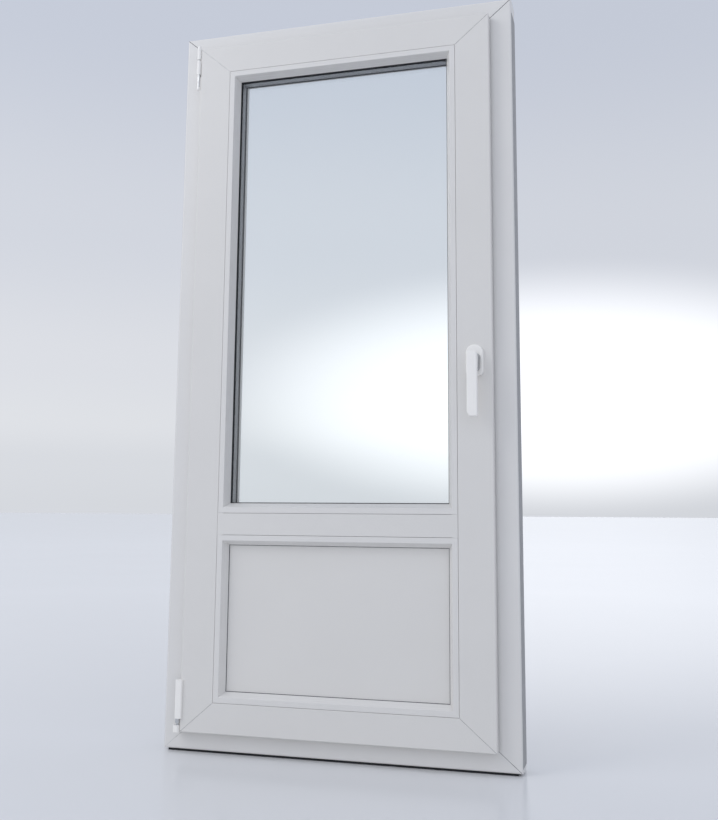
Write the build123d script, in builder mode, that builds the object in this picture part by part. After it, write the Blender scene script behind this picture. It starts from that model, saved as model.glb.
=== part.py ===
from build123d import *
import os
from math import sqrt

# White plastic balcony door: welded outer frame, inward-opening leaf with a
# double-glazed upper field and a solid lower panel, lever handle, corner
# hinges.  Millimetres.  +X to the right seen from the room, +Y to the
# outside, +Z up.  Origin: centre of the underside of the base strip.

# ---------------------------------------------------------------- sizes ----
W, H = 1000.0, 2100.0            # overall width and height of the white frame
HW = W / 2
BASE = 6.0                       # dark strip that the frame stands on
FZ0, FZ1 = BASE, BASE + H        # bottom and top of the white frame
K = 0.85                         # head, sill and rails are narrower than the
                                 # upright members in this proportion
YF = -38.0                       # room face of the frame
YB = 38.0                        # outside face of the frame
LEG_X, LEG_Z = 68.0, 68.0 * K    # frame leg on the room side
STOP_X, STOP_Z = 90.0, 90.0 * K  # frame leg and outer stop together
YSTOP = 18.0                     # inner face of the outer stop
SEEN_X, SEEN_Z = 60.0, 60.0 * K  # frame face left uncovered by the leaf
PROUD = 30.0                     # leaf stands proud of the frame face
YS = YF - PROUD                  # room face of the leaf
FLANGE = 24.0                    # thickness of the leaf's overlap flange
YL = 12.0                        # outside face of the leaf
BODY_X, BODY_Z = 20.0, 20.0 * K  # leaf edge to leaf body, behind the flange
FACE_X, FACE_Z = 96.5, 96.5 * K  # leaf face, edge to glazing bead
BACK_X, BACK_Z = 129.4, 129.4 * K  # leaf edge to the end of its outer glazing leg
BEAD = 28.0                      # glazing bead, groove to glass
LAND = 16.0                      # flat front of the glazing bead
YBB = YS + FLANGE                # back of the glazing beads
YG = YS + 30.0                   # room face of the glass unit
YP = YS + 26.0                   # room face of the lower panel
UNIT = 32.0                      # thickness of the glass unit
PANE = 4.0                       # each sheet of glass
YO = YG + UNIT + 3.0             # outer glazing leg starts here
TZ0, TZ1 = BASE + 589.0, BASE + 649.0   # transom face, bottom and top

SX = HW - SEEN_X                 # leaf edge, half width
SZ0, SZ1 = FZ0 + SEEN_Z, FZ1 - SEEN_Z   # leaf bottom and top
GX = SX - FACE_X                 # groove between leaf face and bead
GZ0, GZ1 = SZ0 + FACE_Z, SZ1 - FACE_Z
OX = SX - BACK_X                 # inner end of the outer glazing leg
OUTER = 5.0                      # rounding of the frame's outer front edge
EDGE = 3.0                       # rounding of the profiles' other visible edges
GAP = 0.7                        # open joint round each glazing bead
WELD = 0.9                       # fine V along each welded mitre of the leaf
WELD_F = 1.3                     # the same on the frame

HX, HY = -SX - 6.6, YS + 1.0     # the vertical hinge axis, beside the leaf's edge
KN = 6.0                         # radius of the hinge knuckles
HANDLE_X, HANDLE_Z = 391.5, 1065.5

os.makedirs("parts", exist_ok=True)
NM = sqrt(1 + K * K)
MX, MZ = K / NM, 1 / NM          # direction across a frame or leaf mitre
R2 = 1 / sqrt(2)                 # bead mitres are at 45 degrees


def at(obj, *pts, tol=0.01):
    """the vertices of a sketch that lie at these local points"""
    return obj.vertices().filter_by(
        lambda v: any(abs(v.X - p[0]) + abs(v.Y - p[1]) + abs(v.Z - p[2]) < tol for p in pts))


def mitre(x, z, nx, nz):
    """a mitre plane through a corner, keeping the side that (nx, nz) points to"""
    return Plane(origin=(x, 0, z), x_dir=(0, 1, 0), z_dir=(nx, 0, nz))


def weld_groove(x0, z0, x1, z1, y, w=WELD):
    """cuts the fine V of a welded mitre along the line on the face at depth y"""
    n = sqrt((x1 - x0) ** 2 + (z1 - z0) ** 2)
    with BuildSketch(Plane(origin=(x0, y, z0), x_dir=(0, 1, 0),
                           z_dir=((x1 - x0) / n, 0, (z1 - z0) / n))) as v:
        Rectangle(w * sqrt(2), w * sqrt(2), rotation=45)
    extrude(v.sketch, amount=n, mode=Mode.SUBTRACT)


# ================================================================ frame ====
def frame_points(c, flip, leg, stop):
    """frame section, starting at the outer edge c and running inward"""
    pts = [(0, YF), (leg, YF), (leg, YSTOP), (stop, YSTOP), (stop, YB), (0, YB)]
    return [(c + flip * u, v) for u, v in pts]


# left jamb, extruded upward and mitred at both ends, with a shallow recess on
# the wall side for the sealing tape
TAPE_Y0, TAPE_Y1 = -32.5, 35.5
RECESS, TAPE_T = 1.0, 2.0                      # the tape stands 1 mm proud
TAPE_Z0, TAPE_Z1 = BASE + 11.5, BASE + 2060.0
with BuildPart() as frame_jamb_left:
    with BuildSketch(Plane.XY.offset(FZ0)) as s:
        with BuildLine():
            Polyline(*frame_points(-HW, 1, LEG_X, STOP_X), close=True)
        make_face()
        fillet(at(s, (-HW, YF, 0)), OUTER)
        fillet(at(s, (-HW + LEG_X, YF, 0)), EDGE)
        fillet(at(s, (-HW, YB, 0), (-HW + STOP_X, YB, 0), (-HW + STOP_X, YSTOP, 0)), 2)
    extrude(amount=H)
    split(bisect_by=mitre(-HW, FZ0, -MX, MZ), keep=Keep.TOP)
    split(bisect_by=mitre(-HW, FZ1, -MX, -MZ), keep=Keep.TOP)
    weld_groove(-HW, FZ0, -HW + LEG_X, FZ0 + LEG_Z, YF, WELD_F)
    weld_groove(-HW, FZ1, -HW + LEG_X, FZ1 - LEG_Z, YF, WELD_F)
    with BuildSketch(Plane.XY.offset(TAPE_Z0)):
        with Locations((-HW, (TAPE_Y0 + TAPE_Y1) / 2)):
            Rectangle(RECESS, TAPE_Y1 - TAPE_Y0, align=(Align.MIN, Align.CENTER))
    extrude(amount=TAPE_Z1 - TAPE_Z0, mode=Mode.SUBTRACT)
frame_jamb_left.part.label = "frame_jamb_left"
export_step(frame_jamb_left.part, "parts/frame_jamb_left.step")

# right jamb
with BuildPart() as frame_jamb_right:
    with BuildSketch(Plane.XY.offset(FZ0)) as s:
        with BuildLine():
            Polyline(*frame_points(HW, -1, LEG_X, STOP_X), close=True)
        make_face()
        fillet(at(s, (HW, YF, 0)), OUTER)
        fillet(at(s, (HW - LEG_X, YF, 0)), EDGE)
        fillet(at(s, (HW, YB, 0), (HW - STOP_X, YB, 0), (HW - STOP_X, YSTOP, 0)), 2)
    extrude(amount=H)
    split(bisect_by=mitre(HW, FZ0, MX, MZ), keep=Keep.TOP)
    split(bisect_by=mitre(HW, FZ1, MX, -MZ), keep=Keep.TOP)
    weld_groove(HW, FZ0, HW - LEG_X, FZ0 + LEG_Z, YF, WELD_F)
    weld_groove(HW, FZ1, HW - LEG_X, FZ1 - LEG_Z, YF, WELD_F)
    with BuildSketch(Plane.XY.offset(TAPE_Z0)):
        with Locations((HW, (TAPE_Y0 + TAPE_Y1) / 2)):
            Rectangle(RECESS, TAPE_Y1 - TAPE_Y0, align=(Align.MAX, Align.CENTER))
    extrude(amount=TAPE_Z1 - TAPE_Z0, mode=Mode.SUBTRACT)
frame_jamb_right.part.label = "frame_jamb_right"
export_step(frame_jamb_right.part, "parts/frame_jamb_right.step")

# head: the same section, extruded across (sketch axes are Y and Z)
with BuildPart() as frame_head:
    with BuildSketch(Plane.YZ.offset(-HW)) as s:
        with BuildLine():
            Polyline(*[(v, u) for u, v in frame_points(FZ1, -1, LEG_Z, STOP_Z)], close=True)
        make_face()
        fillet(at(s, (YF, FZ1, 0)), OUTER)
        fillet(at(s, (YF, FZ1 - LEG_Z, 0)), EDGE)
        fillet(at(s, (YB, FZ1, 0), (YB, FZ1 - STOP_Z, 0), (YSTOP, FZ1 - STOP_Z, 0)), 2)
    extrude(amount=W)
    split(bisect_by=mitre(-HW, FZ1, MX, MZ), keep=Keep.TOP)
    split(bisect_by=mitre(HW, FZ1, -MX, MZ), keep=Keep.TOP)
    weld_groove(-HW, FZ1, -HW + LEG_X, FZ1 - LEG_Z, YF, WELD_F)
    weld_groove(HW, FZ1, HW - LEG_X, FZ1 - LEG_Z, YF, WELD_F)
frame_head.part.label = "frame_head"
export_step(frame_head.part, "parts/frame_head.step")

# sill of the frame
with BuildPart() as frame_sill:
    with BuildSketch(Plane.YZ.offset(-HW)) as s:
        with BuildLine():
            Polyline(*[(v, u) for u, v in frame_points(FZ0, 1, LEG_Z, STOP_Z)], close=True)
        make_face()
        fillet(at(s, (YF, FZ0, 0)), OUTER)
        fillet(at(s, (YF, FZ0 + LEG_Z, 0)), EDGE)
        fillet(at(s, (YB, FZ0, 0), (YB, FZ0 + STOP_Z, 0), (YSTOP, FZ0 + STOP_Z, 0)), 2)
    extrude(amount=W)
    split(bisect_by=mitre(-HW, FZ0, MX, -MZ), keep=Keep.TOP)
    split(bisect_by=mitre(HW, FZ0, -MX, -MZ), keep=Keep.TOP)
    weld_groove(-HW, FZ0, -HW + LEG_X, FZ0 + LEG_Z, YF, WELD_F)
    weld_groove(HW, FZ0, HW - LEG_X, FZ0 + LEG_Z, YF, WELD_F)
frame_sill.part.label = "frame_sill"
export_step(frame_sill.part, "parts/frame_sill.step")

# dark strip under the sill, set back from both faces
with BuildPart() as frame_base_strip:
    with BuildSketch(Plane.XY):
        with Locations((0, (YF + YB) / 2)):
            Rectangle(W - 24, YB - YF - 12)
    extrude(amount=BASE)
frame_base_strip.part.label = "frame_base_strip"
export_step(frame_base_strip.part, "parts/frame_base_strip.step")

# grey sealing tape on the wall side of both jambs
with BuildPart() as frame_side_tapes:
    with BuildSketch(Plane.XY.offset(TAPE_Z0)):
        with Locations((-HW + RECESS, (TAPE_Y0 + TAPE_Y1) / 2)):
            Rectangle(TAPE_T, TAPE_Y1 - TAPE_Y0, align=(Align.MAX, Align.CENTER))
        with Locations((HW - RECESS, (TAPE_Y0 + TAPE_Y1) / 2)):
            Rectangle(TAPE_T, TAPE_Y1 - TAPE_Y0, align=(Align.MIN, Align.CENTER))
    extrude(amount=TAPE_Z1 - TAPE_Z0)
frame_side_tapes.part.label = "frame_side_tapes"
export_step(frame_side_tapes.part, "parts/frame_side_tapes.step")

# rubber seal on the stop of the frame: four strips
SEAL_X, SEAL_Z, SEAL_W = 81.5, 69.8, 6.0
with BuildPart() as frame_stop_seal:
    with BuildSketch(Plane.XZ.offset(-YSTOP)) as s:
        with Locations((0, BASE + H / 2)):
            Rectangle(W - 2 * SEAL_X, H - 2 * SEAL_Z)
            Rectangle(W - 2 * (SEAL_X + SEAL_W), H - 2 * (SEAL_Z + SEAL_W), mode=Mode.SUBTRACT)
    extrude(amount=YSTOP - YL - 0.4)
frame_stop_seal.part.label = "frame_stop_seal"
export_step(frame_stop_seal.part, "parts/frame_stop_seal.step")


# ================================================================= leaf ====
def leaf_points(c, flip, face, back, body):
    """leaf section, starting at the leaf's edge c and running inward"""
    pts = [(0, YS), (face, YS), (face, YO), (back, YO), (back, YL), (body, YL), (body, YBB), (0, YBB)]
    return [(c + flip * u, v) for u, v in pts]


with BuildPart() as sash_stile_left:
    with BuildSketch(Plane.XY.offset(SZ0)) as s:
        with BuildLine():
            Polyline(*leaf_points(-SX, 1, FACE_X, BACK_X, BODY_X), close=True)
        make_face()
        fillet(at(s, (-SX, YS, 0)), EDGE)
        fillet(at(s, (-SX, YBB, 0), (-GX, YS, 0)), 1.2)
        fillet(at(s, (-OX, YO, 0), (-OX, YL, 0), (-SX + BODY_X, YL, 0)), 2)
    extrude(amount=SZ1 - SZ0)
    split(bisect_by=mitre(-SX, SZ0, -MX, MZ), keep=Keep.TOP)
    split(bisect_by=mitre(-SX, SZ1, -MX, -MZ), keep=Keep.TOP)
    weld_groove(-SX, SZ0, -GX, GZ0, YS)
    weld_groove(-SX, SZ1, -GX, GZ1, YS)
sash_stile_left.part.label = "sash_stile_left"
export_step(sash_stile_left.part, "parts/sash_stile_left.step")

# the right stile is drilled for the handle's spindle
with BuildPart() as sash_stile_right:
    with BuildSketch(Plane.XY.offset(SZ0)) as s:
        with BuildLine():
            Polyline(*leaf_points(SX, -1, FACE_X, BACK_X, BODY_X), close=True)
        make_face()
        fillet(at(s, (SX, YS, 0)), EDGE)
        fillet(at(s, (SX, YBB, 0), (GX, YS, 0)), 1.2)
        fillet(at(s, (OX, YO, 0), (OX, YL, 0), (SX - BODY_X, YL, 0)), 2)
    extrude(amount=SZ1 - SZ0)
    split(bisect_by=mitre(SX, SZ0, MX, MZ), keep=Keep.TOP)
    split(bisect_by=mitre(SX, SZ1, MX, -MZ), keep=Keep.TOP)
    weld_groove(SX, SZ0, GX, GZ0, YS)
    weld_groove(SX, SZ1, GX, GZ1, YS)
    with BuildSketch(Plane(origin=(HANDLE_X, YS - 1, HANDLE_Z), x_dir=(1, 0, 0), z_dir=(0, 1, 0))):
        Circle(6.0)
    extrude(amount=41, mode=Mode.SUBTRACT)
sash_stile_right.part.label = "sash_stile_right"
export_step(sash_stile_right.part, "parts/sash_stile_right.step")

with BuildPart() as sash_top_rail:
    with BuildSketch(Plane.YZ.offset(-SX)) as s:
        with BuildLine():
            Polyline(*[(v, u) for u, v in leaf_points(SZ1, -1, FACE_Z, BACK_Z, BODY_Z)], close=True)
        make_face()
        fillet(at(s, (YS, SZ1, 0)), EDGE)
        fillet(at(s, (YBB, SZ1, 0), (YS, GZ1, 0)), 1.2)
        fillet(at(s, (YO, SZ1 - BACK_Z, 0), (YL, SZ1 - BACK_Z, 0), (YL, SZ1 - BODY_Z, 0)), 2)
    extrude(amount=2 * SX)
    split(bisect_by=mitre(-SX, SZ1, MX, MZ), keep=Keep.TOP)
    split(bisect_by=mitre(SX, SZ1, -MX, MZ), keep=Keep.TOP)
    weld_groove(-SX, SZ1, -GX, GZ1, YS)
    weld_groove(SX, SZ1, GX, GZ1, YS)
sash_top_rail.part.label = "sash_top_rail"
export_step(sash_top_rail.part, "parts/sash_top_rail.step")

with BuildPart() as sash_bottom_rail:
    with BuildSketch(Plane.YZ.offset(-SX)) as s:
        with BuildLine():
            Polyline(*[(v, u) for u, v in leaf_points(SZ0, 1, FACE_Z, BACK_Z, BODY_Z)], close=True)
        make_face()
        fillet(at(s, (YS, SZ0, 0)), EDGE)
        fillet(at(s, (YBB, SZ0, 0), (YS, GZ0, 0)), 1.2)
        fillet(at(s, (YO, SZ0 + BACK_Z, 0), (YL, SZ0 + BACK_Z, 0), (YL, SZ0 + BODY_Z, 0)), 2)
    extrude(amount=2 * SX)
    split(bisect_by=mitre(-SX, SZ0, MX, -MZ), keep=Keep.TOP)
    split(bisect_by=mitre(SX, SZ0, -MX, -MZ), keep=Keep.TOP)
    weld_groove(-SX, SZ0, -GX, GZ0, YS)
    weld_groove(SX, SZ0, GX, GZ0, YS)
sash_bottom_rail.part.label = "sash_bottom_rail"
export_step(sash_bottom_rail.part, "parts/sash_bottom_rail.step")

# transom between the glass and the panel, butted between the stiles
with BuildPart() as sash_transom:
    with BuildSketch(Plane.YZ.offset(-GX + GAP)) as s:
        with BuildLine():
            Polyline((YS, TZ0), (YS, TZ1), (YO, TZ1), (YO, TZ0), close=True)
        make_face()
        fillet(at(s, (YS, TZ0, 0), (YS, TZ1, 0)), 1.2)
    extrude(amount=2 * GX - 2 * GAP)
    # end blocks that close the joint under the flats of the upright beads
    with BuildSketch(Plane.XZ.offset(-YBB)):
        with Locations((-GX + (LAND + GAP) / 2, (TZ0 + TZ1) / 2), (GX - (LAND + GAP) / 2, (TZ0 + TZ1) / 2)):
            Rectangle(LAND - GAP, TZ1 - TZ0 + 2 * GAP)
    extrude(amount=YBB - YS)
    with BuildSketch(Plane.YZ.offset(-OX)) as s:
        with BuildLine():
            Polyline((YO, TZ0 - BEAD), (YO, TZ1 + BEAD), (YL, TZ1 + BEAD), (YL, TZ0 - BEAD), close=True)
        make_face()
        fillet(at(s, (YO, TZ0 - BEAD, 0), (YO, TZ1 + BEAD, 0), (YL, TZ0 - BEAD, 0), (YL, TZ1 + BEAD, 0)), 2)
    extrude(amount=2 * OX)
sash_transom.part.label = "sash_transom"
export_step(sash_transom.part, "parts/sash_transom.step")

# ------------------------------------------------------ glazing beads ------
SLOPE = [(GAP, YS), (LAND, YS), (BEAD, YBB), (GAP, YBB)]


def bead_round(s, f):
    """rounds the two front corners of a bead section; f maps (t, y) to 3-D"""
    fillet(at(s, f(GAP, YS)), 1.0)
    fillet(at(s, f(LAND, YS)), 1.5)


# glass field: between the grooves, above the transom
ZA, ZB = TZ1, GZ1
with BuildPart() as glass_bead_left:
    with BuildSketch(Plane.XY.offset(ZA + GAP)) as s:
        with BuildLine():
            Polyline(*[(-GX + t, y) for t, y in SLOPE], close=True)
        make_face()
        bead_round(s, lambda t, y: (-GX + t, y, 0))
    extrude(amount=ZB - ZA - 2 * GAP)
    split(bisect_by=mitre(-GX, ZA, -R2, R2), keep=Keep.TOP)
    split(bisect_by=mitre(-GX, ZB, -R2, -R2), keep=Keep.TOP)
glass_bead_left.part.label = "glass_bead_left"
export_step(glass_bead_left.part, "parts/glass_bead_left.step")

with BuildPart() as glass_bead_right:
    with BuildSketch(Plane.XY.offset(ZA + GAP)) as s:
        with BuildLine():
            Polyline(*[(GX - t, y) for t, y in SLOPE], close=True)
        make_face()
        bead_round(s, lambda t, y: (GX - t, y, 0))
    extrude(amount=ZB - ZA - 2 * GAP)
    split(bisect_by=mitre(GX, ZA, R2, R2), keep=Keep.TOP)
    split(bisect_by=mitre(GX, ZB, R2, -R2), keep=Keep.TOP)
glass_bead_right.part.label = "glass_bead_right"
export_step(glass_bead_right.part, "parts/glass_bead_right.step")

with BuildPart() as glass_bead_top:
    with BuildSketch(Plane.YZ.offset(-GX + GAP)) as s:
        with BuildLine():
            Polyline(*[(y, ZB - t) for t, y in SLOPE], close=True)
        make_face()
        bead_round(s, lambda t, y: (y, ZB - t, 0))
    extrude(amount=2 * GX - 2 * GAP)
    split(bisect_by=mitre(-GX, ZB, R2, R2), keep=Keep.TOP)
    split(bisect_by=mitre(GX, ZB, -R2, R2), keep=Keep.TOP)
glass_bead_top.part.label = "glass_bead_top"
export_step(glass_bead_top.part, "parts/glass_bead_top.step")

with BuildPart() as glass_bead_bottom:
    with BuildSketch(Plane.YZ.offset(-GX + GAP)) as s:
        with BuildLine():
            Polyline(*[(y, ZA + t) for t, y in SLOPE], close=True)
        make_face()
        bead_round(s, lambda t, y: (y, ZA + t, 0))
    extrude(amount=2 * GX - 2 * GAP)
    split(bisect_by=mitre(-GX, ZA, R2, -R2), keep=Keep.TOP)
    split(bisect_by=mitre(GX, ZA, -R2, -R2), keep=Keep.TOP)
glass_bead_bottom.part.label = "glass_bead_bottom"
export_step(glass_bead_bottom.part, "parts/glass_bead_bottom.step")

# panel field: between the bottom rail and the transom
ZC, ZD = GZ0, TZ0
with BuildPart() as panel_bead_left:
    with BuildSketch(Plane.XY.offset(ZC + GAP)) as s:
        with BuildLine():
            Polyline(*[(-GX + t, y) for t, y in SLOPE], close=True)
        make_face()
        bead_round(s, lambda t, y: (-GX + t, y, 0))
    extrude(amount=ZD - ZC - 2 * GAP)
    split(bisect_by=mitre(-GX, ZC, -R2, R2), keep=Keep.TOP)
    split(bisect_by=mitre(-GX, ZD, -R2, -R2), keep=Keep.TOP)
panel_bead_left.part.label = "panel_bead_left"
export_step(panel_bead_left.part, "parts/panel_bead_left.step")

with BuildPart() as panel_bead_right:
    with BuildSketch(Plane.XY.offset(ZC + GAP)) as s:
        with BuildLine():
            Polyline(*[(GX - t, y) for t, y in SLOPE], close=True)
        make_face()
        bead_round(s, lambda t, y: (GX - t, y, 0))
    extrude(amount=ZD - ZC - 2 * GAP)
    split(bisect_by=mitre(GX, ZC, R2, R2), keep=Keep.TOP)
    split(bisect_by=mitre(GX, ZD, R2, -R2), keep=Keep.TOP)
panel_bead_right.part.label = "panel_bead_right"
export_step(panel_bead_right.part, "parts/panel_bead_right.step")

with BuildPart() as panel_bead_top:
    with BuildSketch(Plane.YZ.offset(-GX + GAP)) as s:
        with BuildLine():
            Polyline(*[(y, ZD - t) for t, y in SLOPE], close=True)
        make_face()
        bead_round(s, lambda t, y: (y, ZD - t, 0))
    extrude(amount=2 * GX - 2 * GAP)
    split(bisect_by=mitre(-GX, ZD, R2, R2), keep=Keep.TOP)
    split(bisect_by=mitre(GX, ZD, -R2, R2), keep=Keep.TOP)
panel_bead_top.part.label = "panel_bead_top"
export_step(panel_bead_top.part, "parts/panel_bead_top.step")

with BuildPart() as panel_bead_bottom:
    with BuildSketch(Plane.YZ.offset(-GX + GAP)) as s:
        with BuildLine():
            Polyline(*[(y, ZC + t) for t, y in SLOPE], close=True)
        make_face()
        bead_round(s, lambda t, y: (y, ZC + t, 0))
    extrude(amount=2 * GX - 2 * GAP)
    split(bisect_by=mitre(-GX, ZC, R2, -R2), keep=Keep.TOP)
    split(bisect_by=mitre(GX, ZC, -R2, -R2), keep=Keep.TOP)
panel_bead_bottom.part.label = "panel_bead_bottom"
export_step(panel_bead_bottom.part, "parts/panel_bead_bottom.step")

# ----------------------------------------------- glass unit and panel ------
EDGE_IN = 5.0                                  # the glass stops short of the rebate
GW = 2 * (GX - EDGE_IN)
GH, GC = ZB - ZA - 2 * EDGE_IN, (ZA + ZB) / 2
PH, PC = ZD - ZC - 2 * EDGE_IN, (ZC + ZD) / 2

with BuildPart() as glass_pane_inner:
    with BuildSketch(Plane.XZ.offset(-YG - PANE)):
        with Locations((0, GC)):
            Rectangle(GW, GH)
    extrude(amount=PANE)
glass_pane_inner.part.label = "glass_pane_inner"
export_step(glass_pane_inner.part, "parts/glass_pane_inner.step")

with BuildPart() as glass_pane_outer:
    with BuildSketch(Plane.XZ.offset(-YG - UNIT)):
        with Locations((0, GC)):
            Rectangle(GW, GH)
    extrude(amount=PANE)
glass_pane_outer.part.label = "glass_pane_outer"
export_step(glass_pane_outer.part, "parts/glass_pane_outer.step")

# hollow-bar spacer between the two sheets
LIP = 1.5                                      # gasket lip seen past the bead
BAR = 2.4                                      # spacer, past the same line
FAR = 4.4                                      # outer gasket at the sides and top
with BuildPart() as glass_spacer:
    with BuildSketch(Plane.XZ.offset(-YG - UNIT + PANE)):
        with Locations((0, GC)):
            Rectangle(GW - 24, GH - 24)
            Rectangle(2 * (GX - BEAD - BAR), ZB - ZA - 2 * (BEAD + BAR), mode=Mode.SUBTRACT)
    extrude(amount=UNIT - 2 * PANE)
glass_spacer.part.label = "glass_spacer"
export_step(glass_spacer.part, "parts/glass_spacer.step")

with BuildPart() as lower_panel:
    with BuildSketch(Plane.XZ.offset(-YG - UNIT)):
        with Locations((0, PC)):
            Rectangle(GW, PH)
    extrude(amount=YG + UNIT - YP)
lower_panel.part.label = "lower_panel"
export_step(lower_panel.part, "parts/lower_panel.step")

# glazing gaskets: one loop on each side of the glass and of the panel
with BuildPart() as glass_gasket_inner:
    with BuildSketch(Plane.XZ.offset(-YG)):
        with Locations((0, GC)):
            Rectangle(2 * GX - 44, ZB - ZA - 44)
            Rectangle(2 * (GX - BEAD - LIP), ZB - ZA - 2 * (BEAD + LIP), mode=Mode.SUBTRACT)
    extrude(amount=YG - YBB)
glass_gasket_inner.part.label = "glass_gasket_inner"
export_step(glass_gasket_inner.part, "parts/glass_gasket_inner.step")

with BuildPart() as glass_gasket_outer:
    with BuildSketch(Plane.XZ.offset(-YO)):
        with Locations((0, GC)):
            Rectangle(2 * GX - 44, ZB - ZA - 44)
        with Locations((0, GC + (LIP - FAR) / 2)):
            Rectangle(2 * (GX - BEAD - FAR), ZB - ZA - 2 * BEAD - FAR - LIP, mode=Mode.SUBTRACT)
    extrude(amount=YO - YG - UNIT)
glass_gasket_outer.part.label = "glass_gasket_outer"
export_step(glass_gasket_outer.part, "parts/glass_gasket_outer.step")

PLIP = 1.5
with BuildPart() as panel_gasket_inner:
    with BuildSketch(Plane.XZ.offset(-YP)):
        with Locations((0, PC)):
            Rectangle(2 * GX - 44, ZD - ZC - 44)
            Rectangle(2 * (GX - BEAD - PLIP), ZD - ZC - 2 * (BEAD + PLIP), mode=Mode.SUBTRACT)
    extrude(amount=YP - YBB)
panel_gasket_inner.part.label = "panel_gasket_inner"
export_step(panel_gasket_inner.part, "parts/panel_gasket_inner.step")

with BuildPart() as panel_gasket_outer:
    with BuildSketch(Plane.XZ.offset(-YO)):
        with Locations((0, PC)):
            Rectangle(2 * GX - 44, ZD - ZC - 44)
            Rectangle(2 * (OX - 3), ZD - ZC - 2 * (BEAD + 3), mode=Mode.SUBTRACT)
    extrude(amount=YO - YG - UNIT)
panel_gasket_outer.part.label = "panel_gasket_outer"
export_step(panel_gasket_outer.part, "parts/panel_gasket_outer.step")

# seal on the back of the leaf's overlap flange, standing off the frame face;
# it is cut away at the upper hinge, where the stay passes
with BuildPart() as sash_overlap_seal:
    with BuildSketch(Plane.XZ.offset(-YBB - 4.6)):
        with Locations((0, BASE + H / 2)):
            Rectangle(2 * (SX - 1.5), SZ1 - SZ0 - 3)
            Rectangle(2 * (SX - 6.0), SZ1 - SZ0 - 12, mode=Mode.SUBTRACT)
        with Locations((-SX + 17, BASE + 2012)):
            Rectangle(36, 80, mode=Mode.SUBTRACT)
    extrude(amount=4.6)
sash_overlap_seal.part.label = "sash_overlap_seal"
export_step(sash_overlap_seal.part, "parts/sash_overlap_seal.step")

# ============================================================= hardware ====
# upper hinge, fixed part: a knuckle with a web that passes beside the leaf to
# the frame face
UK0, UK1 = BASE + 1969, BASE + 2012            # foot and top of the fixed knuckle
PIN_R = 2.95
with BuildPart() as upper_hinge_bracket:
    with BuildSketch(Plane.XY.offset(UK0)) as s:
        with Locations((HX, HY)):
            Circle(KN)
        with BuildLine():
            Polyline((HX - KN, HY), (HX - 1.5, HY), (HX - 1.5, YF), (HX - KN, YF), close=True)
        make_face()
        with Locations((HX, HY)):
            Circle(PIN_R + 0.05, mode=Mode.SUBTRACT)
    extrude(amount=UK1 - UK0)
upper_hinge_bracket.part.label = "upper_hinge_bracket"
export_step(upper_hinge_bracket.part, "parts/upper_hinge_bracket.step")

# pin of the upper hinge: thin through the knuckles, thicker below them
with BuildPart() as upper_hinge_pin:
    with BuildSketch(Plane.XY.offset(UK0 - 0.2)):
        with Locations((HX, HY)):
            Circle(PIN_R)
    extrude(amount=83)
    with BuildSketch(Plane.XY.offset(UK0 - 40)):
        with Locations((HX, HY)):
            Circle(4.0)
    extrude(amount=39.8)
    with BuildSketch(Plane.XY.offset(UK0 - 3.2)):
        with Locations((HX, HY)):
            Circle(4.7)
    extrude(amount=3.0)
upper_hinge_pin.part.label = "upper_hinge_pin"
export_step(upper_hinge_pin.part, "parts/upper_hinge_pin.step")

with BuildPart() as upper_hinge_foot_cap:
    with BuildSketch(Plane.XY.offset(UK0 - 49)):
        with Locations((HX, HY)):
            Circle(5.0)
    extrude(amount=9)
    fillet(upper_hinge_foot_cap.edges().sort_by(Axis.Z)[0], 1.8)
upper_hinge_foot_cap.part.label = "upper_hinge_foot_cap"
export_step(upper_hinge_foot_cap.part, "parts/upper_hinge_foot_cap.step")

# stay arm: barrel on the pin, thin link beside the leaf and through the gap
# behind its flange, flat arm above the leaf's top rail
SK0, SK1 = BASE + 2017, BASE + 2046            # foot and top of the stay's knuckle
ARM_TIP = (-48.0, -24.0)
ARM_Z, ARM_T = BASE + 2035.2, 4.0
with BuildPart() as stay_arm:
    with BuildSketch(Plane.XY.offset(SK0)) as s:
        with Locations((HX, HY)):
            Circle(4.0)
            Circle(PIN_R + 0.1, mode=Mode.SUBTRACT)
    extrude(amount=SK1 - SK0)
    with BuildSketch(Plane.XY.offset(ARM_Z)) as s:
        with BuildLine():
            Polyline((HX - 5.5, HY + 0.8), (HX - 3.3, HY + 0.8), (HX - 3.0, HY + 2.2), (HX - 3.0, -42.5),
                     (-424, -42.5), (-416, -31), (ARM_TIP[0], -31), (ARM_TIP[0], -17), (-426, -17),
                     (-426, -40), (HX - 5.5, -40), close=True)
        make_face()
        with Locations((ARM_TIP[0], ARM_TIP[1])):
            Circle(8)
    extrude(amount=ARM_T)
stay_arm.part.label = "stay_arm"
export_step(stay_arm.part, "parts/stay_arm.step")

# white sleeve over the stay's barrel, slotted for the link
with BuildPart() as stay_hinge_sleeve:
    with BuildSketch(Plane.XY.offset(SK0)):
        with Locations((HX, HY)):
            Circle(KN)
            Circle(4.05, mode=Mode.SUBTRACT)
    extrude(amount=SK1 - SK0)
    with BuildSketch(Plane.XY.offset(ARM_Z - 0.2)):
        with Locations((HX - 2.6, HY + 0.4)):
            Rectangle(6, 8, align=(Align.MAX, Align.MIN))
    extrude(amount=ARM_T + 0.4, mode=Mode.SUBTRACT)
stay_hinge_sleeve.part.label = "stay_hinge_sleeve"
export_step(stay_hinge_sleeve.part, "parts/stay_hinge_sleeve.step")

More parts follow.
